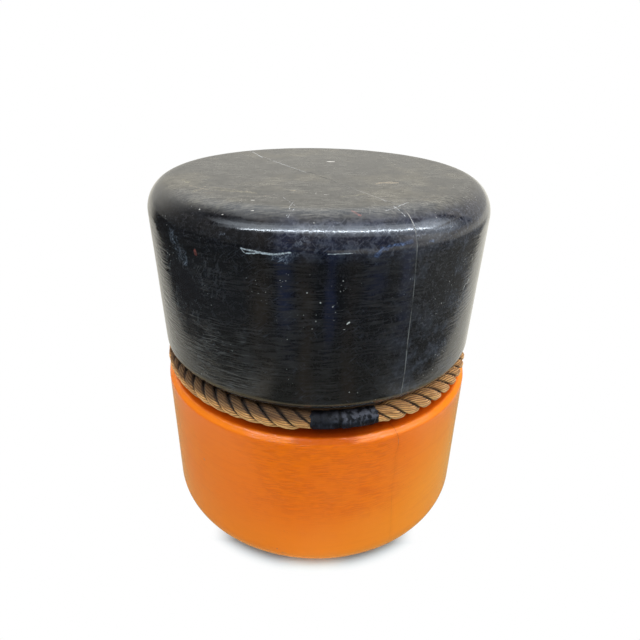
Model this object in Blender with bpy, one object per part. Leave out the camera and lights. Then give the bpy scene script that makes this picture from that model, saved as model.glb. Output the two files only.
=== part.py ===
"""Spool-shaped fishing float with a black upper drum, an orange lower drum and a laid rope strop.

Each drum is two blocks glued on one upright plane, a little off the axis. A disc of smaller
radius joins the drums and leaves the waist groove. A three-strand rope lies in the groove, and
two wraps of tape hold its butted ends. Metres, +Z up. The origin is on the axis, at the base.
"""
import math

import bmesh
import bpy
import numpy as np
from mathutils import Matrix, Vector

# Air left between two pieces that touch
CLEARANCE = 0.0003

# Lower drum: nearly straight sides, a well rounded base and a softer edge at the waist
LOWER_HEIGHT = 0.200
LOWER_BASE_RADIUS = 0.1868
LOWER_WAIST_RADIUS = 0.1877
LOWER_BASE_ROUND = 0.0325
LOWER_WAIST_ROUND = 0.0150

# Upper drum: it widens upwards and has a round shoulder
UPPER_HEIGHT = 0.198
UPPER_WAIST_RADIUS = 0.1855
UPPER_TOP_RADIUS = 0.1900
UPPER_WAIST_ROUND = 0.0154
UPPER_SHOULDER_ROUND = 0.0335

# Glue joint of the blocks: its angle from the front towards +X, and how far it passes the axis
JOINT_ANGLE = math.radians(32.0)
JOINT_OFFSET = 0.0160

# Waist: the groove's depth behind the lower drum's rim, and its spare height over the rope
GROOVE_DEPTH = 0.0227
GROOVE_SPARE = 0.0010

# Rope strop: three strands, laid right-handed, with a little air between its two ends
ROPE_DIAMETER = 0.0200
LAY_LENGTH = 0.0570
STRANDS = 3
STRAND_PHASE = math.radians(-8.0)
BUTT_GAP = 0.0020

# Tape: where its two wraps meet, from the front towards +X, and the size of each
TAPE_AZIMUTH = math.radians(8.0)
TAPE_LEFT_LENGTH = 0.0285
TAPE_RIGHT_LENGTH = 0.0375
TAPE_THICKNESS = 0.0010
TAPE_EDGE_THICKNESS = 0.0005

# Under the tape the rope is squeezed, and it swells out again past the tape's edges
SQUEEZE_LEAD = 0.0060
SQUEEZE_FADE = 0.0100

# Fineness of the round forms
TURN_STEPS = 96
ARC_STEP = math.radians(12.0)
POINTS_PER_LAY = 10
TAPE_SIDES = 16
TAPE_RINGS = 6

FRONT = -0.5 * math.pi
ROPE_RADIUS = 0.5 * ROPE_DIAMETER
GROOVE_HEIGHT = ROPE_DIAMETER + GROOVE_SPARE
NECK_RADIUS = LOWER_WAIST_RADIUS - GROOVE_DEPTH


def clear_scene():
    """Remove every object of the open file."""
    for item in list(bpy.data.objects):
        bpy.data.objects.remove(item, do_unlink=True)


def make_material(name, colour, roughness, metallic=0.0):
    """A Principled material of one colour."""
    material = bpy.data.materials.new(name)
    material.use_nodes = True
    shader = material.node_tree.nodes["Principled BSDF"]
    shader.inputs["Base Color"].default_value = (*colour, 1.0)
    shader.inputs["Roughness"].default_value = roughness
    shader.inputs["Metallic"].default_value = metallic
    material.diffuse_color = (*colour, 1.0)
    return material


def add_object(name, data, material, parent, height=0.0):
    """Place a mesh or curve on the float's axis at a height."""
    item = bpy.data.objects.new(name, data)
    item.location = (0.0, 0.0, height)
    item.parent = parent
    data.materials.append(material)
    bpy.context.scene.collection.objects.link(item)
    return item


def mesh_from(bm, name):
    """Finish a bmesh as a smooth-shaded mesh with its creases kept."""
    bmesh.ops.recalc_face_normals(bm, faces=bm.faces)
    mesh = bpy.data.meshes.new(name)
    bm.to_mesh(mesh)
    bm.free()
    mesh.shade_smooth()
    mesh.set_sharp_from_angle(angle=math.radians(40.0))
    return mesh


def arc(centre_radius, centre_height, round_radius, start, end):
    """Profile points along a rounded edge, from one angle to another."""
    steps = max(2, round(abs(end - start) / ARC_STEP))
    points = []
    for step in range(steps + 1):
        angle = start + (end - start) * step / steps
        radius = centre_radius + round_radius * math.cos(angle)
        height = centre_height + round_radius * math.sin(angle)
        points.append((radius, height))
    return points


def drum_profile(height, low_radius, low_round, high_radius, high_round):
    """Half section of a drum, from the axis at its base to the axis at its top."""
    quarter = 0.5 * math.pi
    profile = [(0.0, 0.0)]
    profile += arc(low_radius - low_round, low_round, low_round, -quarter, 0.0)
    profile += arc(high_radius - high_round, height - high_round, high_round, 0.0, quarter)
    profile.append((0.0, height))
    return profile


def turned(profile):
    """Turn a half section once round the Z axis."""
    bm = bmesh.new()
    points = [bm.verts.new((radius, 0.0, height)) for radius, height in profile]
    edges = [bm.edges.new(pair) for pair in zip(points, points[1:])]
    bmesh.ops.spin(bm, geom=points + edges, cent=(0.0, 0.0, 0.0), axis=(0.0, 0.0, 1.0),
                   angle=2.0 * math.pi, steps=TURN_STEPS, use_merge=True, use_duplicate=False)
    bmesh.ops.remove_doubles(bm, verts=bm.verts, dist=0.00001)
    return bm


def block_of(profile, side, name):
    """The part of a turned drum on one side of the glue joint: -1 is left, 1 is right."""
    across = Vector((math.cos(JOINT_ANGLE), math.sin(JOINT_ANGLE), 0.0))
    face = across * (side * 0.5 * CLEARANCE - JOINT_OFFSET)
    bm = turned(profile)
    cut = bmesh.ops.bisect_plane(bm, geom=bm.verts[:] + bm.edges[:] + bm.faces[:], dist=0.000001,
                                 plane_co=face, plane_no=across * side, clear_inner=True)
    rim = [item for item in cut["geom_cut"] if isinstance(item, bmesh.types.BMEdge)]
    bmesh.ops.contextual_create(bm, geom=rim)
    return mesh_from(bm, name)


def make_drum(label, profile, height, material, parent):
    """Both blocks of a drum."""
    for side, word in ((-1, "left"), (1, "right")):
        name = f"{label}_{word}_block"
        add_object(name, block_of(profile, side, name), material, parent, height)


def make_waist_disc(material, parent):
    """The glued disc between the drums, which the rope lies round."""
    height = GROOVE_HEIGHT - 2.0 * CLEARANCE
    profile = [(0.0, 0.0), (NECK_RADIUS, 0.0), (NECK_RADIUS, height), (0.0, height)]
    mesh = mesh_from(turned(profile), "waist_disc")
    add_object("waist_disc", mesh, material, parent, LOWER_HEIGHT + CLEARANCE)


def rope_axis():
    """Radius and height of the rope's centre line, where it rests on the neck and the lower drum."""
    radius = NECK_RADIUS + CLEARANCE + ROPE_RADIUS
    past_flat = max(0.0, radius - (LOWER_WAIST_RADIUS - LOWER_WAIST_ROUND))
    reach = LOWER_WAIST_ROUND + CLEARANCE + ROPE_RADIUS
    height = LOWER_HEIGHT - LOWER_WAIST_ROUND + math.sqrt(reach ** 2 - past_flat ** 2)
    return radius, height


def laid_gap(strand_radius, lay):
    """Least air between two laid strands whose outsides fill the rope's circle."""
    offset = (ROPE_RADIUS - strand_radius) * math.cos(math.pi / POINTS_PER_LAY)
    apart = 2.0 * math.pi / STRANDS
    least = lay
    for step in range(-90, 91):
        shift = lay * step / 360.0
        turn = apart + 2.0 * math.pi * shift / lay
        across = 2.0 * offset * math.sin(0.5 * turn)
        least = min(least, math.hypot(across, shift))
    return least - 2.0 * strand_radius


def strand_radius_for(lay):
    """The thickest strand that leaves its neighbours the clearance."""
    thin, thick = 0.0, ROPE_RADIUS
    for _ in range(40):
        middle = 0.5 * (thin + thick)
        if laid_gap(middle, lay) > CLEARANCE:
            thin = middle
        else:
            thick = middle
    return thin


def squeeze_at(distance):
    """How far the rope is squeezed, 0 to 1, at a distance along it from where the wraps meet."""
    reach = TAPE_RIGHT_LENGTH if distance > 0.0 else TAPE_LEFT_LENGTH
    past = (abs(distance) - reach - SQUEEZE_LEAD) / SQUEEZE_FADE
    past = min(1.0, max(0.0, past))
    return 1.0 - past * past * (3.0 - 2.0 * past)


def strand_route(phase, strand_radius, crests):
    """Points and thickness along one strand, once round the float."""
    axis_radius, axis_height = rope_axis()
    turns = crests / STRANDS
    butt = BUTT_GAP / axis_radius
    sweep = 2.0 * math.pi - butt
    count = round(turns * POINTS_PER_LAY)
    squeezed = (ROPE_RADIUS - TAPE_THICKNESS - CLEARANCE) / ROPE_RADIUS
    points = []
    for index in range(count + 1):
        along = 0.5 * butt + sweep * index / count
        short_way = along if along < math.pi else along - 2.0 * math.pi
        scale = 1.0 + (squeezed - 1.0) * squeeze_at(short_way * axis_radius)
        offset = (ROPE_RADIUS - strand_radius) * scale
        azimuth = FRONT + TAPE_AZIMUTH + along
        roll = phase - turns * along
        radius = axis_radius + offset * math.cos(roll)
        height = axis_height + offset * math.sin(roll)
        points.append((radius * math.cos(azimuth), radius * math.sin(azimuth), height, scale))
    return points


def least_air(routes, strand_radius):
    """Smallest air between neighbouring strands, measured on points along their straight runs."""
    pieces = 12
    shares = np.linspace(0.0, 1.0, pieces, endpoint=False)[None, :, None]
    runs = []
    for route in routes:
        line = np.array(route)
        fine = line[:-1, None, :] * (1.0 - shares) + line[1:, None, :] * shares
        runs.append(fine.reshape(-1, 4))
    half_lay = POINTS_PER_LAY * pieces // 2
    least = ROPE_DIAMETER
    for index, run in enumerate(runs):
        other = runs[(index + 1) % len(runs)]
        for shift in range(-half_lay, half_lay + 1):
            first = run[max(0, shift):len(run) + min(0, shift)]
            second = other[max(0, -shift):len(other) + min(0, -shift)]
            apart = np.linalg.norm(first[:, :3] - second[:, :3], axis=1)
            air = apart - strand_radius * (first[:, 3] + second[:, 3])
            least = min(least, float(air.min()))
    return least


def make_strop(material, parent):
    """The three laid strands, each one tube whose ends butt under the tape."""
    ring = 2.0 * math.pi * rope_axis()[0]
    crests = round(STRANDS * ring / LAY_LENGTH)
    strand_radius = strand_radius_for(STRANDS * ring / crests)
    routes = []
    for index in range(STRANDS):
        phase = STRAND_PHASE + 2.0 * math.pi * index / STRANDS
        route = strand_route(phase, strand_radius, crests)
        routes.append(route)
        name = f"strop_strand_{index + 1}"
        curve = bpy.data.curves.new(name, "CURVE")
        curve.dimensions = "3D"
        curve.fill_mode = "FULL"
        curve.bevel_depth = strand_radius
        curve.bevel_resolution = 1
        curve.use_fill_caps = True
        spline = curve.splines.new("POLY")
        spline.points.add(len(route) - 1)
        for point, (x, y, z, scale) in zip(spline.points, route):
            point.co = (x, y, z, 1.0)
            point.radius = scale
        spline.use_smooth = True
        add_object(name, curve, material, parent)
    print(f"least air between strands: {1000.0 * least_air(routes, strand_radius):.2f} mm")


def make_tape(name, start, length, material, parent):
    """One wrap: a sleeve round the squeezed rope, thicker in its middle than at its edges."""
    axis_radius, axis_height = rope_axis()
    first_azimuth = FRONT + TAPE_AZIMUTH + start / axis_radius
    place = (Matrix.Rotation(first_azimuth, 4, "Z")
             @ Matrix.Translation((axis_radius, 0.0, axis_height))
             @ Matrix.Rotation(0.5 * math.pi, 4, "X"))
    bm = bmesh.new()
    edge_radius = ROPE_RADIUS - TAPE_THICKNESS + TAPE_EDGE_THICKNESS
    bmesh.ops.create_circle(bm, cap_ends=True, segments=TAPE_SIDES, radius=edge_radius, matrix=place)
    bm.faces.ensure_lookup_table()
    opening = bm.faces[0]
    bmesh.ops.inset_individual(bm, faces=[opening], thickness=TAPE_EDGE_THICKNESS, use_even_offset=True)
    bmesh.ops.delete(bm, geom=[opening], context="FACES_ONLY")
    bmesh.ops.spin(bm, geom=bm.faces[:], cent=(0.0, 0.0, 0.0), axis=(0.0, 0.0, 1.0),
                   angle=length / axis_radius, steps=TAPE_RINGS, use_merge=False, use_duplicate=False)
    for vert in bm.verts:
        azimuth = math.atan2(vert.co.y, vert.co.x)
        centre = Vector((axis_radius * math.cos(azimuth), axis_radius * math.sin(azimuth), axis_height))
        outward = vert.co - centre
        if outward.length > edge_radius - 0.5 * TAPE_EDGE_THICKNESS:
            share = (azimuth - first_azimuth) * axis_radius / length
            swell = (TAPE_THICKNESS - TAPE_EDGE_THICKNESS) * math.sin(math.pi * share)
            vert.co += outward.normalized() * swell
    add_object(name, mesh_from(bm, name), material, parent)


def build():
    """Make the whole float."""
    clear_scene()
    float_root = bpy.data.objects.new("float", None)
    bpy.context.scene.collection.objects.link(float_root)

    black_paint = make_material("black_paint", (0.012, 0.012, 0.018), 0.22)
    orange_paint = make_material("orange_paint", (0.78, 0.17, 0.008), 0.32)
    bare_wood = make_material("bare_wood", (0.28, 0.17, 0.09), 0.75)
    rope_fibre = make_material("rope_fibre", (0.46, 0.27, 0.13), 0.85)
    black_tape = make_material("black_tape", (0.016, 0.018, 0.024), 0.45)

    lower = drum_profile(LOWER_HEIGHT, LOWER_BASE_RADIUS, LOWER_BASE_ROUND,
                         LOWER_WAIST_RADIUS, LOWER_WAIST_ROUND)
    upper = drum_profile(UPPER_HEIGHT, UPPER_WAIST_RADIUS, UPPER_WAIST_ROUND,
                         UPPER_TOP_RADIUS, UPPER_SHOULDER_ROUND)
    make_drum("lower", lower, 0.0, orange_paint, float_root)
    make_waist_disc(bare_wood, float_root)
    make_drum("upper", upper, LOWER_HEIGHT + GROOVE_HEIGHT, black_paint, float_root)
    make_strop(rope_fibre, float_root)
    half_gap = 0.5 * CLEARANCE
    make_tape("joint_tape_left", -TAPE_LEFT_LENGTH, TAPE_LEFT_LENGTH - half_gap, black_tape, float_root)
    make_tape("joint_tape_right", half_gap, TAPE_RIGHT_LENGTH - half_gap, black_tape, float_root)


build()
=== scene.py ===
"""Looks of the fishing float: fine painted blocks, a laid rope strop and its taped joint.

Metres, +Z up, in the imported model's frame: the origin is on the float's axis, at its base.
The photograph looks along +Y. Azimuths are counted from the front towards +X.
"""

import math

import bmesh
import bpy
import numpy as np
from mathutils import Matrix, Vector, noise


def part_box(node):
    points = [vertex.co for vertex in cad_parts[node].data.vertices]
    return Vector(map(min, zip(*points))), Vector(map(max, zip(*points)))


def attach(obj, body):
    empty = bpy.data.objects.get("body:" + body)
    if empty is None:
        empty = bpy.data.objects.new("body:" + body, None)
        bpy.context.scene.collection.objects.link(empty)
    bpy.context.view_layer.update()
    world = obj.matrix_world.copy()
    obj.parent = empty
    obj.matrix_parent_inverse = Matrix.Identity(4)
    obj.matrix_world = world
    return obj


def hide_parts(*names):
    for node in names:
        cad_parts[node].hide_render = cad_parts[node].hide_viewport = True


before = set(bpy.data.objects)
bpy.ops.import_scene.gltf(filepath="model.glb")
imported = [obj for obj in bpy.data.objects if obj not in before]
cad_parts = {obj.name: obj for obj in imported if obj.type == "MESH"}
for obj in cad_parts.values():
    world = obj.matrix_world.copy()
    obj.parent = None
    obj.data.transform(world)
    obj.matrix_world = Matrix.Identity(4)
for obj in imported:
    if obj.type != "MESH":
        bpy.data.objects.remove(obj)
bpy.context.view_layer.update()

MM = 0.001
FRONT = -0.5 * math.pi
FULL_TURN = 2.0 * math.pi

# Camera: where the eye is, how far it is tipped down and turned about its own axis, and its lens
EYE = Vector((0.0011, -0.6055, 0.537))
TIPPED_DOWN = 0.4494
ROLLED = 0.0171
LENS = 29.79
SENSOR = 36.0
SHIFT_RIGHT = 0.0026
SHIFT_UP = -0.0161

# Painted drums: radii and rounds of their turned outlines, and their lowest and highest points
LOWER_LOW, LOWER_HIGH = (corner.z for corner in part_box("lower_right_block"))
LOWER_BASE_RADIUS = 0.1868
LOWER_BASE_ROUND = 0.0325
LOWER_WAIST_RADIUS = 0.1877
LOWER_WALL_TOP = 0.182
UPPER_LOW, UPPER_HIGH = (corner.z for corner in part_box("upper_right_block"))
UPPER_WAIST_RADIUS = 0.1855
UPPER_WAIST_ROUND = 0.0154
UPPER_TOP_RADIUS = 0.19
UPPER_SHOULDER_ROUND = 0.0335

# Worn rim of the lower drum, outward to inward: a round, a slope, a round, a ledge and a step to the top
RIM_LOW_ROUND = 0.003
RIM_SLOPE_TIP = math.radians(36.0)
RIM_SLOPE_LENGTH = 0.0043
RIM_HIGH_ROUND = 0.005
LEDGE_TIP = math.radians(84.0)
LEDGE_RADIUS = 0.169
SEAT_RADIUS = 0.1665
RIM_WEAR = 0.0006

# Glue joint of each drum's two blocks: the plane's angle, its distance from the axis, half its gap
JOINT_ANGLE = math.radians(32.0)
JOINT_OFFSET = 0.016
JOINT_HALF_GAP = 0.00005
JOINT_ACROSS = np.array((math.cos(JOINT_ANGLE), math.sin(JOINT_ANGLE), 0.0))
JOINT_ALONG = np.array((math.sin(JOINT_ANGLE), -math.cos(JOINT_ANGLE), 0.0))

# Where the paint has cracked along the joint, it wanders from the plane: place along it, then offset
TOP_WANDER = ((-170, 1.0), (-154, 1.6), (-81, -2.5), (-1, -5.4), (3, 1.5), (99, -1.5), (133, -1.9),
              (160, -1.2))
UPPER_SIDE_WANDER = ((233, 1.4), (258, 2.4), (295, 1.3), (337, 1.2), (363, 0.3), (384, -0.9), (405, -1.2))
LOWER_SIDE_WANDER = ((51, 4.5), (91, 1.6), (114, 0.3), (133, 1.4), (157, 0.4), (164, 2.0), (174, 2.8),
                     (186, 1.3))
WANDER_REACH = 0.025

# How deep the drums are dented and grooved at the joint, and where rows of points follow the groove
DENT_DEPTH = 0.00032
JOINT_GROOVE = 0.00015
JOINT_ROWS = (0.0006, 0.0016)

# Fineness of the turned drums
TURN_STEPS = 512
TURN_SECTORS = 32
ARC_STEP = math.radians(5.0)
WALL_STEP = 0.0036
FLAT_STEP = 0.0055
LEDGE_STEP = 0.0018
RIM_STEP = 0.0007

# Rope strop: its centre line, its lay, and where its ends butt
ROPE_RADIUS = 0.011
ROPE_AXIS_RADIUS = 0.1753
ROPE_AXIS_HEIGHT = 0.207
STRANDS = 3
LAY_TURNS = 58 / STRANDS
STRAND_PHASE = math.radians(-8.0)
BUTT_AZIMUTH = math.radians(8.0)
BUTT_GAP = 0.002
YARNS = 13
POINTS_PER_YARN = 6
YARN_TURN = 0.85
STRAND_RINGS = 1150
STRAND_SECTORS = 46

# One strand's outline across the rope, in rope radii: half its angle, how far and how suddenly its flanks
# fall, its inmost and its middle point; then how deep its yarns part, tuft and swell
STRAND_HALF_ANGLE = math.radians(58.6)
FLANK_FALL = 0.34
FLANK_BEND = 3.4
STRAND_CORE = 0.1
STRAND_MIDDLE = 0.56
YARN_PARTING = 0.085
YARN_TUFT = 0.03
YARN_SWELL = 0.02

# Tape wraps
TAPE_LEFT_LENGTH = 0.0285
TAPE_RIGHT_LENGTH = 0.0375
TAPE_GAP = 0.0003
TAPE_SIDES = 128
TAPE_RING_STEP = 0.0004
TAPE_INNER_RADIUS = 0.009
TAPE_OUTER_RADIUS = 0.0099
SQUEEZED = 0.79
SQUEEZE_LEAD = 0.006
SQUEEZE_FADE = 0.01

# How deep the lay, the edges of its turns, folds, creases and its ends sink into the tape; its torn ends
LAY_SINK = 0.0001
TURN_EDGE_SINK = 0.00018
TURN_LENGTH_MM = 11.0
FOLD_SINK = 0.0006
CREASE_SINK = 0.0005
END_SINK = 0.0007
DEEPEST_SINK = 0.00085
TEAR = 0.0026
TEAR_REACH = 0.006


class Value:
    """A socket of a node tree. Its operators and methods add the nodes for what they say."""

    def __init__(self, graph, socket):
        self.graph = graph
        self.socket = socket

    def out(self, name):
        """Another output of the same node."""
        return Value(self.graph, self.socket.node.outputs[name])

    def __add__(self, other):
        return self.graph.number("ADD", self, other)

    __radd__ = __add__

    def __sub__(self, other):
        return self.graph.number("SUBTRACT", self, other)

    def __rsub__(self, other):
        return self.graph.number("SUBTRACT", other, self)

    def __mul__(self, other):
        return self.graph.number("MULTIPLY", self, other)

    __rmul__ = __mul__

    def __truediv__(self, other):
        return self.graph.number("DIVIDE", self, other)

    def __abs__(self):
        return self.graph.number("ABSOLUTE", self)

    def step(self, low, high):
        """0 at low and 1 at high, with soft ends."""
        sockets = {"Value": self, "From Min": low, "From Max": high}
        return self.graph.node("MapRange", {"interpolation_type": "SMOOTHSTEP"}, sockets)

    def mix(self, low, high):
        """One colour where this is 0, another where it is 1."""
        return self.graph.node("Mix", {"data_type": "RGBA"}, {0: self, 6: low, 7: high}, 2)

    def part(self, letter):
        """One coordinate of a place."""
        return self.graph.node("SeparateXYZ", {}, {0: self}, letter)

    def measure(self, operation, *others):
        """A number that Vector Math gives for this place and another."""
        return self.graph.vector(operation, self, *others).out("Value")

    def stretched(self, factors):
        """A place with each axis scaled by its own factor."""
        return self.graph.vector("MULTIPLY", self, factors)

    def azimuth(self):
        """How far round from the front a place is, in radians."""
        return self.graph.number("ARCTAN2", self.part("X"), 0.0 - self.part("Y"))

    def unrolled(self):
        """A place on a drum's side as the distance round it from the front, 0, and its height."""
        distance = self.azimuth() * LOWER_WAIST_RADIUS
        return self.graph.node("CombineXYZ", {}, {"X": distance, "Z": self.part("Z")})

    def noise(self, scale, detail=2.0, roughness=0.5):
        """Soft noise about 0.5."""
        sockets = {"Vector": self, "Scale": scale, "Detail": detail, "Roughness": roughness}
        return self.graph.node("TexNoise", {}, sockets)

    def streaks(self, slant, long, short, detail=1.0):
        """Noise drawn out into streaks of a length and a width, slanted from level."""
        sockets = {"Vector": self, "Angle": math.radians(slant)}
        slanted = self.graph.node("VectorRotate", {"rotation_type": "Y_AXIS"}, sockets)
        return slanted.stretched((1.0 / long, 1.0 / short, 1.0 / short)).noise(1.0, detail)

    def wobbled(self, scale, reach):
        """A place moved about by noise, so that what is drawn there isn't ruler-straight."""
        sockets = {"Vector": self, "Scale": scale, "Detail": 1.0}
        shift = self.graph.node("TexNoise", {}, sockets, "Color")
        centred = self.graph.vector("SUBTRACT", shift, (0.5, 0.5, 0.5))
        return self.graph.vector("ADD", self, self.graph.scaled(centred, reach))

    def stroke(self, start, end, width):
        """1 on a straight mark from one place to another, in millimetres, and 0 past its width."""
        first = Vector(start) * MM
        reach = Vector(end) * MM - first
        near = tuple(first)
        if reach.length >= 0.1 * MM:
            from_first = self.graph.vector("SUBTRACT", self, tuple(first))
            share = from_first.measure("DOT_PRODUCT", tuple(reach / reach.length_squared))
            along = self.graph.scaled(tuple(reach), self.graph.node("Clamp", {}, {0: share}))
            near = self.graph.vector("ADD", along, tuple(first))
        return self.measure("DISTANCE", near).step(0.5 * width * MM, 0.2 * width * MM)

    def strokes(self, marks):
        """1 on any of several straight marks."""
        return larger(*[self.stroke(mark[:3], mark[3:6], mark[6]) for mark in marks])


class Graph:
    """A node tree, to which one method adds any node."""

    def __init__(self, tree):
        self.tree = tree
        tree.nodes.clear()

    def node(self, kind, settings, sockets, output=0):
        """Add a node: its settings come first, then the values or links of its sockets."""
        made = self.tree.nodes.new("ShaderNode" + kind)
        for name, value in settings.items():
            setattr(made, name, value)
        for name, value in sockets.items():
            socket = made.inputs[name]
            if isinstance(value, Value):
                self.tree.links.new(value.socket, socket)
            else:
                socket.default_value = (*value, 1.0) if socket.type == "RGBA" else value
        return Value(self, made.outputs[output]) if len(made.outputs) else None

    def number(self, operation, *values):
        """Math on values and numbers in their order."""
        return self.node("Math", {"operation": operation}, dict(enumerate(values)))

    def vector(self, operation, *values):
        """Vector Math on places and colours in their order."""
        return self.node("VectorMath", {"operation": operation}, dict(enumerate(values)))

    def scaled(self, vector, factor):
        """A place or colour times a number."""
        return self.node("VectorMath", {"operation": "SCALE"}, {0: vector, "Scale": factor})

    def place(self):
        """Object coordinates, which are the frame's own metres."""
        return self.node("TexCoord", {}, {}, "Object")

    def attribute(self, name, output="Fac"):
        """A piece's own attribute."""
        return self.node("Attribute", {"attribute_name": name}, {}, output)

    def rays(self):
        """1 for rays from the eye, also past what is see-through, and 1 for rays from gloss."""
        ray = self.node("LightPath", {}, {}, "Is Camera Ray")
        return larger(ray, ray.out("Is Transmission Ray")), ray.out("Is Glossy Ray")


def larger(value, *others):
    """The largest of several values."""
    for other in others:
        value = value.graph.number("MAXIMUM", value, other)
    return value


def layered(colour, layers):
    """A colour with layers over it, each a mask and its tone."""
    for mask, tone in layers:
        colour = mask.mix(colour, tone)
    return colour


def new_material(name):
    """An empty node material and its graph."""
    material = bpy.data.materials.new(name)
    material.use_nodes = True
    return material, Graph(material.node_tree)


def surface(graph, colour, rough, relief, matte=None, **more):
    """Finish a graph with a Principled shader over a relief in metres, matte where a share says so."""
    normal = graph.node("Bump", {}, {"Strength": 1.0, "Distance": 1.0, "Height": relief})
    sockets = {"Base Color": colour, "Roughness": rough, "Normal": normal, **more}
    shader = graph.node("BsdfPrincipled", {}, sockets)
    if matte is not None:
        flat = graph.node("BsdfPrincipled", {}, {**sockets, "Roughness": 1.0, "Specular IOR Level": 0.0})
        shader = graph.node("MixShader", {}, {0: matte, 1: shader, 2: flat})
    graph.node("OutputMaterial", {}, {"Surface": shader})


# Marks on the black paint in millimetres, each from one place to another and its width
PALE_MARKS = (
    (10, 57, 419, 16, 57.6, 419, 5.6), (-60, -138, 419, -58, -138, 419, 2),
    (-58, -161, 416, -56, -161, 416, 1.7), (-85, -157.5, 411, -83, -158, 411, 1.5),
    (-107, -142.5, 411, -106, -143, 411, 1.2), (-3, -112, 419, -3, -106, 419, 0.9),
    (5, -112.6, 419, 9, -112.6, 419, 1), (-9, -189, 352, -9, -189, 352, 1.7),
    (3, -189, 342.5, 3, -189, 342.5, 1.9), (27, -186.1, 321, 29, -185.8, 322.5, 1.9),
    (24, -186.5, 315.5, 33, -185.2, 315, 0.6), (-6.5, -189, 369, -6.5, -189, 369, 1.1),
    (-27, -187.4, 362, -27, -187.4, 362, 1.1), (22, -188, 363, 22, -188, 363, 1.3),
    (145, -120, 327, 148, -116, 333, 0.8), (150, -114, 331, 152, -111, 336, 0.8),
    (173, -71, 294, 174.5, -68, 300, 0.8),
)
# Fine scratches and ridges, painted pale where they catch highlights
HAIRLINES = (
    (8, -189.8, 387.5, 29, -187.7, 388, 1), (-66, -178.3, 388, -60, -180.3, 386.6, 1.6),
    (-60, -180.3, 386.8, -53, -182.4, 386.6, 1.9), (-66, -178.3, 387.4, -61.5, -179.8, 383.4, 1.4),
    (-61.5, -179.8, 383.4, -52, -182.6, 384.9, 1.6), (-52, -182.6, 385.9, -38, -186, 385.3, 2.6),
    (-38, -186, 385.4, -23, -188.5, 388, 2), (57, -159, 416.7, 66.7, -151.1, 417.9, 0.7),
    (66.7, -151.1, 417.9, 80.2, -135.8, 419, 0.9), (-25.7, -172.9, 413.5, -20.7, -161.8, 418.3, 0.7),
    (-27, -172, 414, -24.5, -160, 418.6, 0.6), (-25.2, -157.6, 418.9, -21.9, -137.2, 419, 0.6),
    (-33.5, -123.2, 419, -19.2, -157.5, 418.9, 0.6), (-90.1, 120.5, 419, -72.3, 76.7, 419, 1.5),
    (-57.5, 57, 419, -15.7, -10.3, 419, 1.3), (57.1, -126, 419, 66.7, -151.1, 417.9, 0.9),
    (67.2, -151.6, 417.9, 74.7, -159.8, 412.5, 0.9),
)
# Smudges coloured as the pale bluish highlights they show
SMEAR_HIGHLIGHTS = (
    (-41, -185.4, 382, -30, -187.5, 385, 8), (-33, -187, 380.5, -19, -189, 386.5, 6.5),
    (-28, -187.8, 378.5, -24, -188.4, 382, 4), (-17, -188.3, 394, -12, -187, 399, 6.5),
    (-12, -187, 399, -7, -185, 403.5, 5), (12.5, -181.5, 407.3, 13.3, -175.8, 412.5, 3.6),
    (13.3, -175.8, 412.6, 19.1, -174.5, 413.4, 2.8), (15, -178.5, 410.5, 18, -176.8, 411.5, 2.4),
    (96, -163, 391.5, 101, -160, 391, 4.5), (-84, -166, 397, -70, -173.5, 392, 5),
    (-137, -131, 383, -131, -137, 374, 18), (-130, -138, 372, -125, -143, 365, 20),
    (100, -158, 399, 119, -145, 398, 9), (84, -168, 397, 118, -147, 393, 7),
)
BEIGE_MARKS = (
    (62, -58.2, 419, 80, -55.8, 419, 6), (70, -80, 419, 84, -79, 419, 0.9),
    (-118.4, -109, 418.9, -114.6, -103, 419, 1), (-119, -101, 419, -112, -98, 419, 0.9),
    (-115, -97, 419, -109, -82, 419, 0.8), (-108, -113, 419, -92, -112, 419, 0.9),
    (-136, 62, 419, -125, 65, 419, 1.5), (-28, -98, 419, -23, -98, 419, 1.8),
    (-112, -96, 419, -88, -105, 419, 0.9), (-104, -88, 419, -80, -99, 419, 0.8),
    (-92, -109, 419, -66, -103, 419, 0.9), (-84, -95, 419, -58, -113, 419, 0.8),
    (-128, -84, 419, -107, -101, 419, 0.9), (-70, -124, 419, -44, -120, 419, 0.8),
    (58, -63, 419, 75, -51, 419, 2.6),
)
RED_MARKS = (
    (28.5, -163.5, 417.6, 35, -168.5, 415, 3), (-111, -153.7, 376, -110.5, -154.3, 373, 4.8),
)
YELLOW_MARKS = (
    (-106, -91, 419, -84, -103, 419, 9), (-84, -103, 419, -62, -110, 419, 7),
    (-118, -108, 418.9, -112, -96, 419, 6), (-140, -60, 419, -132, -70, 419, 8),
    (20, -120, 419, 44, -108, 419, 6),
)
# Patches painted as blue reflections
BLUE_REFLECTION_SMEARS = (
    (50.5, -183.2, 385, 53.4, -182.1, 389.6, 6), (53.4, -182.1, 389.6, 62, -179.3, 391.8, 5.5),
    (62, -179.3, 391.8, 81, -170.8, 393.8, 4.5), (98, -161.8, 391.5, 101, -160.3, 391, 3.6),
)
# Upright bands of painted reflection on the black paint: place round the side from the front, and half
# width, in millimetres
REFLECTED_BLUE_BANDS = ((-28, 9), (12, 6), (51, 12), (81, 9))
REFLECTED_BROWN_BANDS = ((-52, 13), (-10, 9), (31, 9))


def joint_line(graph, place, width):
    """1 along the joint where the paint has cracked, broken up and uneven in width."""
    away = graph.attribute("to_joint") - place.noise(190, 3, 0.7) * (1.3 * width)
    kept = place.noise(42, 1).step(0.3, 0.62)
    return away.step(0.25 * width, -0.3 * width) * (0.25 + kept * 0.75)


def brushed(wall):
    """Level brush marks round a side, 0 to 1, in patches."""
    patches = wall.noise(17, 2).step(0.38, 0.62)
    marks = wall.wobbled(55, 0.004).streaks(2, 0.024, 0.0021, 2)
    return marks.step(0.38, 0.66) * (0.25 + patches * 0.75)


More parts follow.
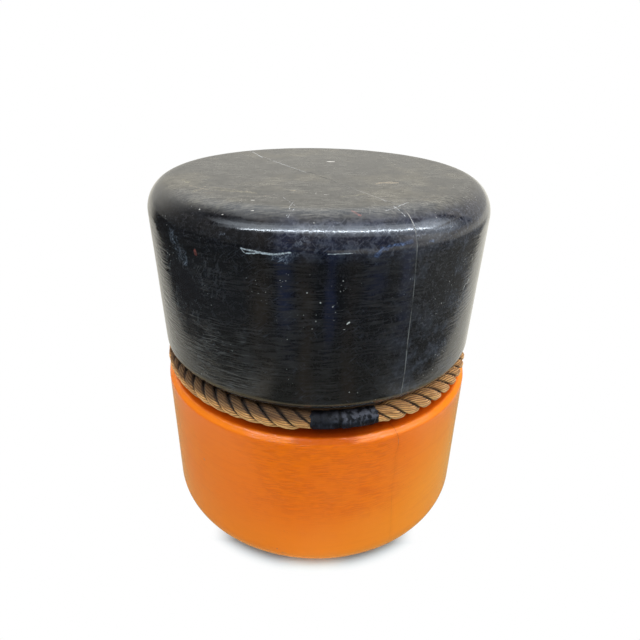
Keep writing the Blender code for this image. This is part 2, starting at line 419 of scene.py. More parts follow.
def bands_of(wall, bands):
    """1 on any of several upright bands of a side, which fade in and out along their height."""
    along = wall.wobbled(30, 0.012).part("X")
    shown = [abs(along - middle * MM).step(1.3 * half * MM, 0.1 * half * MM) for middle, half in bands]
    return larger(*shown) * wall.noise(14, 1).step(0.28, 0.62)


def black_paint_look():
    """Old black gloss: worn grey on top, brushed and nicked on its side, pale where it cracked; painted
    reflections on its shoulder and side, painted shade at its left.
    """
    material, graph = new_material("black_paint_worn")
    place = graph.place()
    wall = place.unrolled()
    wobbled = place.wobbled(320, 0.0012)
    ragged = place.wobbled(170, 0.005)
    across = place.part("X")
    height = place.part("Z")

    # Zones of the drum
    on_top = height.step(UPPER_HIGH - 0.01, UPPER_HIGH - 0.001)
    on_side = 1.0 - on_top
    shoulder = height.step(UPPER_HIGH - 0.044, UPPER_HIGH - 0.026) * on_side
    shoulder = shoulder * (0.15 + across.step(-0.05, -0.02) * 0.85)
    upright = height.step(UPPER_HIGH - 0.026, UPPER_HIGH - 0.042)
    rightward = across.step(0.045, 0.11) * on_side
    at_right = across.step(0.11, 0.16)
    leftward = across.step(-0.06, -0.13)
    painted_shade_left = across.step(-0.02, -0.075) * height.step(0.345, 0.378) * on_side

    # Wear of the top
    streaks = place.streaks(4, 0.085, 0.0022, 3)
    clouds = place.noise(22, 5, 0.65)
    small_clouds = place.noise(75, 3, 0.65)
    pebbled = place.noise(290, 3, 0.6)
    fine = place.noise(700, 2, 0.7)
    grain = place.wobbled(40, 0.006).streaks(5, 0.015, 0.0016, 2)
    dust = streaks.step(0.38, 0.62) * 0.3 + clouds.step(0.38, 0.62) * 0.25
    dust = (dust + grain.step(0.43, 0.56) * 0.38 + pebbled.step(0.44, 0.57) * 0.2) * on_top
    yellowed = place.noise(13, 3, 0.6).step(0.5, 0.66) * on_top
    hatched = larger(wall.streaks(38, 0.012, 0.0012).step(0.58, 0.72),
                     wall.streaks(-52, 0.01, 0.001).step(0.6, 0.74))
    scratches = hatched * pebbled.step(0.42, 0.6) * on_top

    # Wear of the side and the shoulder, and painted reflections on them
    worn = place.noise(30, 3, 0.65).step(0.42, 0.64)
    mottled = (small_clouds * 0.6 + pebbled * 0.4).step(0.46, 0.58)
    hazy = larger(shoulder * mottled, worn * rightward * (0.35 + mottled * 0.65))
    scuffs = hatched * larger(hazy, worn * 0.4, shoulder * 0.8)
    brush = brushed(wall)
    blue_reflection_bands = bands_of(wall, REFLECTED_BLUE_BANDS) * height.step(0.26, 0.35) * on_side
    feathers = wall.wobbled(70, 0.008).streaks(68, 0.012, 0.0022, 2).step(0.5, 0.66)
    feathers = feathers * leftward * height.step(0.39, 0.37) * (worn + pebbled).step(0.85, 1.2)
    low_lines = wall.wobbled(60, 0.003).streaks(4, 0.03, 0.0013, 1)
    low_lines = low_lines.step(0.52, 0.66) * across.step(-0.04, -0.085)
    low_lines = low_lines * height.step(0.33, 0.29) * (0.25 + worn * 0.75)
    rubbed = (pebbled * 0.5 + fine * 0.5).step(0.5, 0.61) * on_side
    rubbed = rubbed * (0.2 + rightward * 0.6 + leftward * 0.1 + shoulder * 0.4)

    # Marks, painted highlights and reflections, and the crack
    smeared = larger(hatched, fine.step(0.46, 0.62) * 0.6) * pebbled.step(0.38, 0.56)
    smeared = smeared * (0.3 + small_clouds.step(0.42, 0.56) * 0.7)
    smear_highlights = ragged.strokes(SMEAR_HIGHLIGHTS) * (0.03 + smeared * 0.97)
    blue_reflections = ragged.strokes(BLUE_REFLECTION_SMEARS) * (0.1 + smeared * 0.9)
    yellow = ragged.strokes(YELLOW_MARKS) * (0.15 + smeared * 0.85)
    specks = place.noise(620, 0).step(0.8, 0.84) * place.noise(26, 1).step(0.54, 0.66)
    chips = larger(wobbled.strokes(PALE_MARKS) * 0.9, specks * 0.55)
    crack = joint_line(graph, place, 0.0007)
    from_middle = abs(place.measure("DOT_PRODUCT", tuple(JOINT_ALONG)) - 0.02)
    crack_tone = from_middle.step(0.045, 0.085).mix((0.006, 0.006, 0.006), (0.34, 0.33, 0.31))

    colour = clouds.step(0.36, 0.64).mix((0.0073, 0.007, 0.0079), (0.01, 0.0093, 0.0106))
    colour = layered(colour, (
        # painted reflection of the floor: lighter and browner towards the bottom
        (height.step(0.345, 0.25) * 0.85, (0.018, 0.015, 0.0125)),
        # painted reflections: brown and bluish upright bands on the side
        (bands_of(wall, REFLECTED_BROWN_BANDS) * 0.9 * on_side, (0.023, 0.0165, 0.0125)),
        (blue_reflection_bands * (0.7 - brush * 0.4), (0.0145, 0.017, 0.04)),
        # painted reflection: bluish on the shoulder
        (shoulder * 0.6, (0.01, 0.0125, 0.029)),
        # brush marks, painted lighter as the reflections they catch
        (brush * on_side * (0.5 + leftward * 0.15), (0.043, 0.0385, 0.0375)),
        # painted shade: darker below the shoulder at the left
        (painted_shade_left * 0.55, (0.003, 0.003, 0.0036)),
        # ripple streaks low at the left, painted lighter as the reflections they catch
        (feathers * height.step(0.27, 0.32) * 0.28, (0.12, 0.118, 0.122)),
        (low_lines * 0.55, (0.11, 0.105, 0.1)),
        (rightward * (0.2 + worn * 0.8) * 0.6, (0.029, 0.027, 0.031)),
        (yellowed * 0.13, (0.34, 0.29, 0.16)),
        (dust * 0.3, (0.33, 0.32, 0.275)),
        (grain.step(0.48, 0.38) * on_top * 0.6, (0.01, 0.01, 0.011)),
        (scratches * 0.09, (0.5, 0.47, 0.38)),
        (yellow * 0.22, (0.6, 0.55, 0.26)),
        (rubbed * 0.5, (0.085, 0.078, 0.086)),
        # haze and scuffs, painted pale blue as the reflection they spread
        (larger(hazy * 0.085, scuffs * 0.12), (0.31, 0.35, 0.46)),
        # smudges painted as pale bluish highlights
        (smear_highlights * 0.46, (0.36, 0.41, 0.5)),
        # painted blue reflections
        (blue_reflections * 0.85, (0.15, 0.25, 0.52)),
        (wobbled.strokes(BEIGE_MARKS) * (0.3 + smeared * 0.6), (0.62, 0.5, 0.34)),
        (wobbled.strokes(RED_MARKS) * (0.14 + smeared * 0.56), (0.5, 0.13, 0.1)),
        # scratches and ridges, painted pale as the highlights they catch
        (wobbled.strokes(HAIRLINES) * (0.3 + fine.step(0.38, 0.6) * 0.6), (0.5, 0.53, 0.56)),
        (chips, (0.62, 0.61, 0.57)),
        (crack * (0.75 - upright * 0.35), crack_tone),
    ))

    rough = 0.07 + dust * 0.15 + on_top * 0.06 + hazy * 0.07 + scuffs * 0.1
    rough = larger(rough, larger(chips, crack, larger(smear_highlights, blue_reflections) * 0.5) * 0.5)
    relief = brush * upright * (0.00004 + leftward * 0.00018 + at_right * 0.00011)
    relief = relief + streaks * on_top * 0.00002 + scuffs * 0.00002
    relief = relief + small_clouds * 0.00011 + pebbled * (0.00003 + on_side * 0.000025)
    relief = relief - larger(chips, crack) * 0.00012
    surface(graph, colour, rough, relief)
    return material


# Marks on the orange paint, as above
ORANGE_CRACKS = (
    (55, -177.6, 193, 58, -177.6, 187, 0.9), (58, -177.6, 187, 61.5, -177.4, 182, 0.8),
    (3, -187.6, 190, 3.2, -187.7, 184, 0.7), (88, -164, 190, 90, -164, 184, 0.8),
)
ORANGE_SPECKS = (
    (-126, -139, 121.5, -125, -139.8, 120.5, 2.6), (-41, -182, 30.5, -41, -182, 30.5, 2),
    (-36, -182.5, 25, -31, -183.3, 24, 1.5), (-113, -146, 28, -112, -146, 27, 1.5),
)


def orange_paint_look():
    """Old orange gloss: brushed, cracked along its joint, a few dark nicks; painted lighter to one side,
    at the bottom and on the rim, painted shade under the rope.
    """
    material, graph = new_material("orange_paint_worn")
    place = graph.place()
    wall = place.unrolled()
    wobbled = place.wobbled(240, 0.0012)
    across = place.part("X")
    height = place.part("Z")
    radius = place.stretched((1, 1, 0)).measure("LENGTH")
    from_front = place.measure("DISTANCE", (0.01, -0.186, 0.187))

    clouds = place.noise(13, 4, 0.6)
    pebbled = place.noise(230, 3, 0.6)
    lumps = place.noise(60, 2)
    strokes = wall.streaks(2, 0.1, 0.0045, 2)
    brush = wall.wobbled(60, 0.004).streaks(2, 0.017, 0.0013, 2)
    brush = brush.step(0.36, 0.64) * (0.45 + lumps.step(0.35, 0.6) * 0.55)
    middle = abs(across - 0.01).step(0.11, 0.05) * height.step(0.06, 0.11)

    over_rim = height.step(LOWER_WALL_TOP, 0.185)
    # painted shade with some grime in the crevice under the rope; also rougher and matte there
    grime_and_shade = (radius - lumps * 0.004).step(0.1815, 0.1775) * over_rim
    dulled = larger(from_front.step(0.04, 0.022) * over_rim, across.step(0.055, 0.085) * over_rim * 0.75)
    off_front = larger(across.step(0.045, 0.11), across.step(-0.03, -0.1))
    grime_and_shade_tone = off_front.mix((0.31, 0.036, 0.002), (0.62, 0.085, 0.002))

    specks = place.noise(420, 0).step(0.81, 0.84) * place.noise(24, 1).step(0.54, 0.66)
    dark = larger(wobbled.strokes(ORANGE_SPECKS), specks * 0.4)
    crack = larger(joint_line(graph, wobbled, 0.0004), wobbled.strokes(ORANGE_CRACKS) * 0.8)
    crack = crack * (0.05 + height.step(0.14, 0.185) * 0.55)
    stained = graph.attribute("to_joint").step(0.0045, 0.0002)
    underside = height.step(0.0025, 0.0)
    scuffed = underside * place.noise(60, 5, 0.7).step(0.45, 0.62)

    # painted light: lighter and yellower towards the right and the bottom
    lit_right_and_low = (place.measure("DOT_PRODUCT", (1.0, 0.0, -0.9)) + clouds * 0.05).step(-0.055, 0.19)
    colour = layered(lit_right_and_low.mix((0.9, 0.162, 0.001), (0.995, 0.325, 0.004)), (
        (strokes.step(0.45, 0.75) * 0.2, (0.76, 0.124, 0.001)),
        (brush * (0.06 + middle * 0.35), (0.61, 0.073, 0.001)),
        (clouds.step(0.52, 0.72) * 0.18, (0.9, 0.205, 0.003)),
        # painted light from below: lighter near the bottom
        (height.step(0.1, 0.02) * 0.6, (0.98, 0.235, 0.004)),
        # painted light: the rim's top lighter
        (over_rim * 0.55, (0.96, 0.26, 0.006)),
        # painted shade: dark red at the front of the rim, under the tape
        (from_front.step(0.042, 0.026) * over_rim * 0.7, (0.47, 0.06, 0.002)),
        # painted shade and grime under the rope, darker at the front
        (grime_and_shade * 0.88, grime_and_shade_tone),
        (dark * 0.8, (0.2, 0.045, 0.01)),
        (stained * 0.05, (0.5, 0.08, 0.004)),
        (crack, (0.22, 0.045, 0.008)),
        (scuffed * 0.6, (0.3, 0.17, 0.09)),
    ))

    rough = 0.13 + clouds.step(0.3, 0.8) * 0.07 + underside * 0.25 + grime_and_shade * 0.25
    rough = larger(rough, larger(crack, dark) * 0.6)
    relief = brush * (0.00005 + middle * 0.00026) + strokes * 0.00002 + pebbled * 0.00006
    relief = relief + lumps * 0.0003 + over_rim * place.noise(120, 2, 0.6) * 0.00055
    relief = relief - larger(crack, dark * 0.5) * 0.00012
    matte = larger(grime_and_shade * 0.9, dulled * (0.6 + pebbled * 0.55))
    surface(graph, colour, rough, relief, matte)
    return material


def wood_look():
    """Bare weathered wood of the disc: rings of end grain and rubbed, dusty patches."""
    material, graph = new_material("bare_wood_weathered")
    place = graph.place()
    grain = place.stretched((30, 30, 420)).noise(1, 4, 0.6)
    rubbed = place.noise(45, 4, 0.6)
    colour = grain.step(0.3, 0.7).mix((0.17, 0.1, 0.055), (0.34, 0.21, 0.12))
    colour = (rubbed.step(0.5, 0.8) * 0.5).mix(colour, (0.09, 0.055, 0.035))
    surface(graph, colour, 0.7 + rubbed * 0.2, grain * 0.0003)
    return material


def rope_look():
    """Weathered manila: fine fibres along each yarn, painted shade down between yarns and strands and
    under the drum.
    """
    material, graph = new_material("rope_fibre_weathered")
    lay = graph.attribute("lay", "Vector")
    place = graph.place()
    height = place.part("Z")
    fibres = lay.stretched((700, 700, 75)).noise(1, 4, 0.75)
    yarn_tone = lay.stretched((560, 560, 40)).noise(1, 2).step(0.36, 0.64)
    patches = place.noise(38, 3, 0.6)
    off_right = place.part("X").step(0.08, 0.0)
    topmost = height.step(0.206, 0.215)
    # painted shade: darker down between strands, more towards the top and the left
    gaps = (graph.attribute("depth") + topmost * (0.12 + off_right * 0.24)).step(0.32, 0.85)
    shade_under_drum = height.step(0.207, 0.2135)
    colour = layered(yarn_tone.mix((0.46, 0.202, 0.052), (0.77, 0.39, 0.12)), (
        (fibres.step(0.52, 0.68) * 0.7, (0.92, 0.58, 0.27)),
        (fibres.step(0.48, 0.34) * 0.75, (0.12, 0.05, 0.014)),
        (patches.step(0.5, 0.75) * 0.3, (0.34, 0.18, 0.065)),
        # painted shade between yarns
        (graph.attribute("between_yarns").step(0.15, 0.95) * 0.82, (0.085, 0.036, 0.011)),
        (gaps * (0.78 + off_right * 0.16), (0.03, 0.013, 0.004)),
        # painted shadow of the drum: darker towards the top, most at the left
        (shade_under_drum * (0.12 + off_right * 0.66), (0.045, 0.02, 0.007)),
    ))
    dull = {"Specular IOR Level": 0.3, "Sheen Weight": 0.1}
    surface(graph, colour, 0.78 + fibres * 0.15, fibres * 0.0004, **dull)
    return material


def tape_look():
    """Black adhesive tape: bluish black, scuffed with painted grey highlights on its ridges, painted
    highlights on its folds and at its right, painted shade in its notch.
    """
    material, graph = new_material("black_tape_scuffed")
    place = graph.place()
    wall = place.unrolled()
    across = place.part("X")
    fine = place.noise(900, 3, 0.7)
    worn = place.noise(170, 3, 0.6)
    scuffs = fine.step(0.48, 0.7) * graph.attribute("ridge").step(0.55, 0.95)
    folds = wall.stretched((175, 1, 22)).noise(1, 2, 0.6)
    frayed = wall.stretched((520, 1, 90)).noise(1, 1)
    rightward = across.step(0.008, 0.034)
    top_highlight = place.part("Z").step(0.2065, 0.2125)
    notch = abs(across - 0.0243).step(0.003, 0.0006)
    colour = layered(worn.step(0.35, 0.7).mix((0.006, 0.0065, 0.009), (0.014, 0.015, 0.022)), (
        # scuffs, and painted grey highlights on the ridges
        (scuffs * 0.3, (0.15, 0.17, 0.23)),
        # painted highlights on the folds, more at the right
        (folds.step(0.54, 0.66) * (0.25 + rightward * 0.45), (0.07, 0.075, 0.095)),
        # painted highlight on the top of the right wrap
        (top_highlight * rightward * worn.step(0.42, 0.58) * 0.65, (0.105, 0.112, 0.14)),
        (frayed.step(0.62, 0.72) * (0.12 + rightward * 0.3), (0.11, 0.115, 0.14)),
        # painted shade in the gap between the wraps
        (notch * 0.85, (0.0035, 0.0035, 0.0045)),
    ))
    rough = 0.5 + worn.step(0.3, 0.7) * 0.16 + scuffs * 0.2
    relief = worn * 0.0006 + fine * 0.00005 + folds * 0.0014
    surface(graph, colour, rough, relief, **{"Specular IOR Level": 0.09})
    return material


def to_object(bm, name, material):
    """Finish a bmesh as an object at the origin, with its normals outward."""
    bmesh.ops.recalc_face_normals(bm, faces=bm.faces)
    mesh = bpy.data.meshes.new(name)
    bm.to_mesh(mesh)
    bm.free()
    mesh.materials.append(material)
    item = bpy.data.objects.new(name, mesh)
    bpy.context.scene.collection.objects.link(item)
    return item


def points_of(mesh):
    """The mesh's vertices as an array with a row each."""
    points = np.empty(3 * len(mesh.vertices))
    mesh.vertices.foreach_get("co", points)
    return points.reshape(-1, 3)


def set_points(mesh, points):
    """Move the mesh's vertices."""
    mesh.vertices.foreach_set("co", points.ravel())
    mesh.update()


def set_attribute(mesh, name, values):
    """Give the mesh a number, or a vector, at each vertex."""
    kind, field = ("FLOAT", "value") if values.ndim == 1 else ("FLOAT_VECTOR", "vector")
    layer = mesh.attributes.new(name, kind, "POINT")
    layer.data.foreach_set(field, values.astype(np.float32).ravel())


def smooth(low, high, values):
    """0 at low and 1 at high, with soft ends, for an array."""
    share = np.clip((values - low) / (high - low), 0.0, 1.0)
    return share * share * (3.0 - 2.0 * share)


def noise_of(points, scale, seed):
    """Noise from -1 to 1 at each row of an array."""
    shift = Vector((7.3 * seed, 3.1 * seed, 5.7 * seed))
    return np.array([noise.noise(Vector(row) * scale + shift) for row in points])


def radius_of(points):
    """How far each row is from the Z axis."""
    return np.hypot(points[:, 0], points[:, 1])


def polar(radius, angle, height):
    """Rows of places from their radii, angles and heights."""
    return np.stack(np.broadcast_arrays(radius * np.cos(angle), radius * np.sin(angle), height), 1)


def run(start, end, step):
    """Points of an outline from one to another, without the first, about a step apart."""
    (r0, z0), (r1, z1) = start, end
    count = max(1, round(math.hypot(r1 - r0, z1 - z0) / step))
    return [(r0 + (r1 - r0) * i / count, z0 + (z1 - z0) * i / count) for i in range(1, count + 1)]


def arc(centre, radius, first, last, step):
    """Points of an outline along an arc from one angle to another, about a step apart."""
    count = max(1, round(abs(last - first) / step))
    angles = [first + (last - first) * i / count for i in range(count + 1)]
    return [(centre[0] + radius * math.cos(a), centre[1] + radius * math.sin(a)) for a in angles]


def rounded_edge(radius, height, edge_round, start):
    """Points of an outline along a rounded edge, a quarter turn from an angle, inside its corner."""
    centre_height = height + edge_round * (1.0 if start < 0.0 else -1.0)
    return arc((radius - edge_round, centre_height), edge_round, start, start + 0.5 * math.pi, ARC_STEP)


def worn_rim():
    """Points of an outline over the lower drum's worn rim, from its wall to its flat top."""
    centre = (LOWER_WAIST_RADIUS - RIM_LOW_ROUND, LOWER_WALL_TOP)
    edge = arc(centre, RIM_LOW_ROUND, 0.0, RIM_SLOPE_TIP, 3.0 * ARC_STEP)
    foot = edge[-1]
    slope_end = (foot[0] - RIM_SLOPE_LENGTH * math.sin(RIM_SLOPE_TIP),
                 foot[1] + RIM_SLOPE_LENGTH * math.cos(RIM_SLOPE_TIP))
    edge += run(foot, slope_end, RIM_STEP)
    centre = (slope_end[0] - RIM_HIGH_ROUND * math.cos(RIM_SLOPE_TIP),
              slope_end[1] - RIM_HIGH_ROUND * math.sin(RIM_SLOPE_TIP))
    edge += arc(centre, RIM_HIGH_ROUND, RIM_SLOPE_TIP, LEDGE_TIP, 1.5 * ARC_STEP)[1:]
    ledge_rise = (edge[-1][0] - LEDGE_RADIUS) / math.tan(LEDGE_TIP)
    edge += run(edge[-1], (LEDGE_RADIUS, edge[-1][1] + ledge_rise), LEDGE_STEP)
    return edge + run(edge[-1], (SEAT_RADIUS, LOWER_HIGH), LEDGE_STEP)


def drum_outline(low_edge, high_edge):
    """Fine half section of a drum with two given edges, from the axis at its base to that at its top."""
    outline = [(0.0, low_edge[0][1])]
    outline += run(outline[0], low_edge[0], FLAT_STEP)
    outline += low_edge[1:]
    outline += run(low_edge[-1], high_edge[0], WALL_STEP)
    outline += high_edge[1:]
    outline += run(high_edge[-1], (0.0, high_edge[-1][1]), FLAT_STEP)
    return outline


ROUND_Z = {"cent": (0.0, 0.0, 0.0), "axis": (0.0, 0.0, 1.0), "use_merge": False}


def sweep_round(bm, section, sweep, steps, sectors):
    """Turn a section round the Z axis: one sector is spun, then repeated and welded, for speed."""
    bmesh.ops.spin(bm, geom=section, angle=sweep / sectors, steps=steps // sectors,
                   use_duplicate=False, **ROUND_Z)
    sector = bm.verts[:] + bm.edges[:] + bm.faces[:]
    bmesh.ops.spin(bm, geom=sector, angle=sweep - sweep / sectors, steps=sectors - 1,
                   use_duplicate=True, **ROUND_Z)
    bmesh.ops.remove_doubles(bm, verts=bm.verts, dist=0.00002)


def turned(outline):
    """Turn a half section once round the Z axis."""
    bm = bmesh.new()
    points = [bm.verts.new((radius, 0.0, height)) for radius, height in outline]
    edges = [bm.edges.new(pair) for pair in zip(points, points[1:])]
    sweep_round(bm, points + edges, FULL_TURN, TURN_STEPS, TURN_SECTORS)
    return bm


def inward(points, low, high):
    """Unit directions into a drum, towards a smaller core of it."""
    core_radius, depth = 0.15, 0.035
    share = np.minimum(1.0, core_radius / np.maximum(radius_of(points), 1e-6))
    core = points.copy()
    core[:, :2] *= share[:, None]
    core[:, 2] = np.clip(points[:, 2], low + depth, high - depth)
    way = core - points
    return way / np.maximum(np.linalg.norm(way, axis=1), 1e-9)[:, None]


def wander_of(points, side_wander, high):
    """How far the cracked joint lies from its plane at each point, in metres."""
    along = points @ JOINT_ALONG
    top = np.interp(along / MM, *zip(*TOP_WANDER))
    side = np.interp(points[:, 2] / MM, *zip(*side_wander))
    back = 1.6 * np.sin(points[:, 2] * 47.0) + 0.8 * np.sin(points[:, 2] * 131.0)
    side = np.where(along > 0.0, side, back) * smooth(0.09, 0.15, radius_of(points))
    on_side = smooth(high - 0.004, high - 0.03, points[:, 2])
    return MM * (top * (1.0 - on_side) + side * on_side)


def make_block(name, side, outline, low, high, side_wander, rim_wear, material):
    """One painted block of a drum: cut at the joint, its crack wandering, its surface uneven."""
    bm = turned(outline)
    across = Vector(JOINT_ACROSS)
    for distance in (JOINT_HALF_GAP, *JOINT_ROWS):
        at_joint = distance == JOINT_HALF_GAP
        everything = bm.verts[:] + bm.edges[:] + bm.faces[:]
        cut = bmesh.ops.bisect_plane(bm, geom=everything, dist=0.000001, plane_no=across * side,
                                     plane_co=across * (side * distance - JOINT_OFFSET),
                                     clear_inner=at_joint)
        if at_joint:
            rim = [item for item in cut["geom_cut"] if isinstance(item, bmesh.types.BMEdge)]
            bmesh.ops.contextual_create(bm, geom=rim)
    block = to_object(bm, name, material)
    mesh = block.data
    points = points_of(mesh)
    away = np.abs(points @ JOINT_ACROSS + JOINT_OFFSET)
    way = inward(points, low, high)

    swell = 0.5 + 0.5 * noise_of(points, 24.0, 1) * 0.7 + 0.15 * noise_of(points, 70.0, 2)
    flat_base = smooth(low + 0.001, low + 0.01, points[:, 2])
    dent = DENT_DEPTH * np.clip(swell, 0.0, 1.0) * flat_base
    groove = JOINT_GROOVE * smooth(0.0004, 0.0, away - JOINT_HALF_GAP)
    rim = smooth(high - 0.0165, high - 0.0125, points[:, 2]) * smooth(0.174, 0.181, radius_of(points))
    wear = rim_wear * rim * np.clip(0.5 + 0.9 * noise_of(points, 17.0, 3), 0.0, 1.0)
    moved = points + way * (dent + groove + wear)[:, None]

    near_joint = 1.0 - smooth(0.0, WANDER_REACH, away)
    shift = wander_of(points, side_wander, high) * near_joint
    radius = radius_of(moved)
    moved += JOINT_ACROSS * shift[:, None]
    kept = radius / np.maximum(radius_of(moved), 1e-6)
    outside = smooth(0.12, 0.16, radius)
    moved[:, :2] *= (1.0 + (kept - 1.0) * outside)[:, None]
    set_points(mesh, moved)
    set_attribute(mesh, "to_joint", away)
    mesh.shade_smooth()
    mesh.set_sharp_from_angle(angle=math.radians(40.0))
    return block


def squeeze_at(distance):
    """How far the rope is squeezed, 0 to 1, at distances along it from where its ends butt."""
    reach = np.where(distance > 0.0, TAPE_RIGHT_LENGTH, TAPE_LEFT_LENGTH) + SQUEEZE_LEAD
    return 1.0 - smooth(0.0, SQUEEZE_FADE, np.abs(distance) - reach)


def strand_section():
    """Outline of one strand across the rope, as shares of its length, then x out and y round."""
    angles = np.linspace(-STRAND_HALF_ANGLE, STRAND_HALF_ANGLE, 90)
    radius = 1.0 - FLANK_FALL * np.abs(angles / STRAND_HALF_ANGLE) ** FLANK_BEND
    outer = np.stack([radius * np.cos(angles), radius * np.sin(angles)], 1)
    core = np.array([[STRAND_CORE, 0.0]])
    shares = (0.25, 0.5, 0.75, 1.0)
    inner = [outer[-1:] + (core - outer[-1:]) * share for share in shares]
    back = [core + (outer[:1] - core) * share for share in shares]
    line = np.concatenate([outer, *inner, *back])
    lengths = np.concatenate([[0.0], np.cumsum(np.linalg.norm(np.diff(line, axis=0), axis=1))])
    return lengths / lengths[-1], line[:, 0], line[:, 1], lengths[-1]


def across_rope(azimuth):
    """Where a circle round the rope's centre line stands, at an angle round the Z axis."""
    return (Matrix.Rotation(azimuth, 4, "Z")
            @ Matrix.Translation((ROPE_AXIS_RADIUS, 0.0, ROPE_AXIS_HEIGHT))
            @ Matrix.Rotation(0.5 * math.pi, 4, "X"))


def spun_tube(sides, start_azimuth, sweep, rings):
    """A closed tube of the rope's size round the neck."""
    bm = bmesh.new()
    bmesh.ops.create_circle(bm, cap_ends=False, segments=sides, radius=0.8 * ROPE_RADIUS,
                            matrix=across_rope(start_azimuth))
    sweep_round(bm, bm.verts[:] + bm.edges[:], sweep, rings, STRAND_SECTORS)
    ends = [edge for edge in bm.edges if edge.is_boundary]
    bmesh.ops.holes_fill(bm, edges=ends, sides=0)
    return bm


def ring_and_side(points, sides, start_azimuth, sweep, rings):
    """Which ring and which side of a spun tube each vertex is on."""
    turn = np.arctan2(points[:, 1], points[:, 0]) - start_azimuth
    turn = np.mod(turn + 0.25 * sweep / rings, FULL_TURN)
    ring = np.floor(turn * rings / sweep + 0.25).astype(int)
    angle = np.arctan2(points[:, 2] - ROPE_AXIS_HEIGHT, radius_of(points) - ROPE_AXIS_RADIUS)
    side = np.round(np.mod(angle, FULL_TURN) * sides / FULL_TURN).astype(int) % sides
    return ring, side


def make_strand(index, material):
    """One laid strand: yarns that wind round it and lie along the rope where they come outside."""
    sides = YARNS * POINTS_PER_YARN
    butt = BUTT_GAP / ROPE_AXIS_RADIUS
    sweep = FULL_TURN - butt
    start = FRONT + BUTT_AZIMUTH + 0.5 * butt
    name = f"strand_{index + 1}_laid"
    strand = to_object(spun_tube(sides, start, sweep, STRAND_RINGS), name, material)
    mesh = strand.data
    ring, side = ring_and_side(points_of(mesh), sides, start, sweep, STRAND_RINGS)

    along = 0.5 * butt + sweep * ring / STRAND_RINGS
    short_way = np.where(along < math.pi, along, along - FULL_TURN) * ROPE_AXIS_RADIUS
    scale = 1.0 + (SQUEEZED - 1.0) * squeeze_at(short_way)
    roll = STRAND_PHASE + FULL_TURN * index / STRANDS - LAY_TURNS * along
    shares, out_line, round_line, length = strand_section()
    share = np.mod(side / sides + YARN_TURN * LAY_TURNS * along / length, 1.0)
    out = np.interp(share, shares, out_line)
    across = np.interp(share, shares, round_line)

    distance = along * ROPE_AXIS_RADIUS
    turn = FULL_TURN * side / sides
    yarn = side // POINTS_PER_YARN
    lump = noise_of(polar(2.0, turn, distance * 30.0), 1.0, index + 1)
    tuft = noise_of(np.stack([yarn * 1.7, distance * 160.0, 0.0 * distance], 1), 1.0, index + 5)
    between = np.array([1.0, 0.5, 0.1, 0.0, 0.1, 0.5])[side % POINTS_PER_YARN]
    sunk = (YARN_PARTING + YARN_TUFT * tuft) * between + YARN_SWELL * (1.0 - lump)
    shrink = 1.0 - sunk / np.maximum(np.hypot(out - STRAND_MIDDLE, across), 0.15)
    out = STRAND_MIDDLE + (out - STRAND_MIDDLE) * shrink
    across = across * shrink

    size = ROPE_RADIUS * scale
    radial = ROPE_AXIS_RADIUS + size * (out * np.cos(roll) - across * np.sin(roll))
    height = ROPE_AXIS_HEIGHT + size * (out * np.sin(roll) + across * np.cos(roll))
    set_points(mesh, polar(radial, FRONT + BUTT_AZIMUTH + along, height))
    lay = polar(ROPE_RADIUS * length / FULL_TURN, turn, distance)
    lay[:, 0] += 0.1 * index
    set_attribute(mesh, "lay", lay)
    outmost = np.hypot(out, across)
    set_attribute(mesh, "depth", np.clip((0.93 - outmost) / 0.3, 0.0, 1.0))
    set_attribute(mesh, "between_yarns", between)
    mesh.shade_smooth()
    return strand


